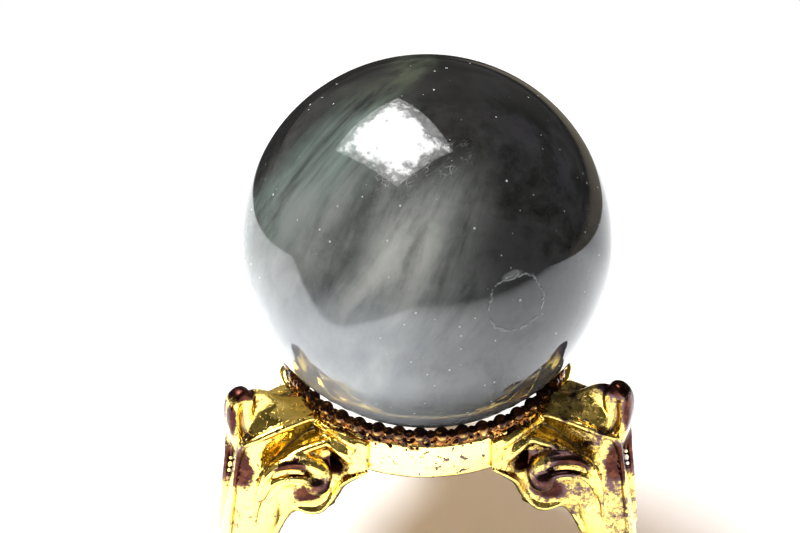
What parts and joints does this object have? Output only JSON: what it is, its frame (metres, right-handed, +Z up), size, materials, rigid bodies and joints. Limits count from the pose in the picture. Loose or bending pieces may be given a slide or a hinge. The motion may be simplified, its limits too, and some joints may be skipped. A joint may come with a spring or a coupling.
{
  "type": "gemstone sphere on stand",
  "caption": "Polished dark stone ball resting on the beaded rim of a ring, carried by cast gold scroll legs.",
  "frame": {"origin": "middle of the footprint, on the surface that the three feet stand on", "axes": "+Z up through the ball, -Y towards the viewer, between the two front legs, +X to the viewer's right"},
  "size_m": [0.0676, 0.0631, 0.0759],
  "materials": {
    "polished_stone": "polished",
    "gold_plate": "polished, gold plated",
    "tarnished_gold": "tarnished dark brown",
    "screw_brass": "satin"
  },
  "bodies": {
    "stand": {"seat_ring": "gold_plate", "bead_rim": "tarnished_gold", "leg_front_left": "gold_plate", "leg_front_right": "gold_plate", "leg_back": "gold_plate", "leg_screw_front_left": "screw_brass", "leg_screw_front_right": "screw_brass", "leg_screw_back": "screw_brass"},
    "sphere": {"gem_sphere": "polished_stone"}
  },
  "joints": [
    {"name": "sphere_lift", "type": "slide", "parent": "stand", "child": "sphere", "axis": [0, 0, 1], "range_m": [0, 0.05]}
  ]
}
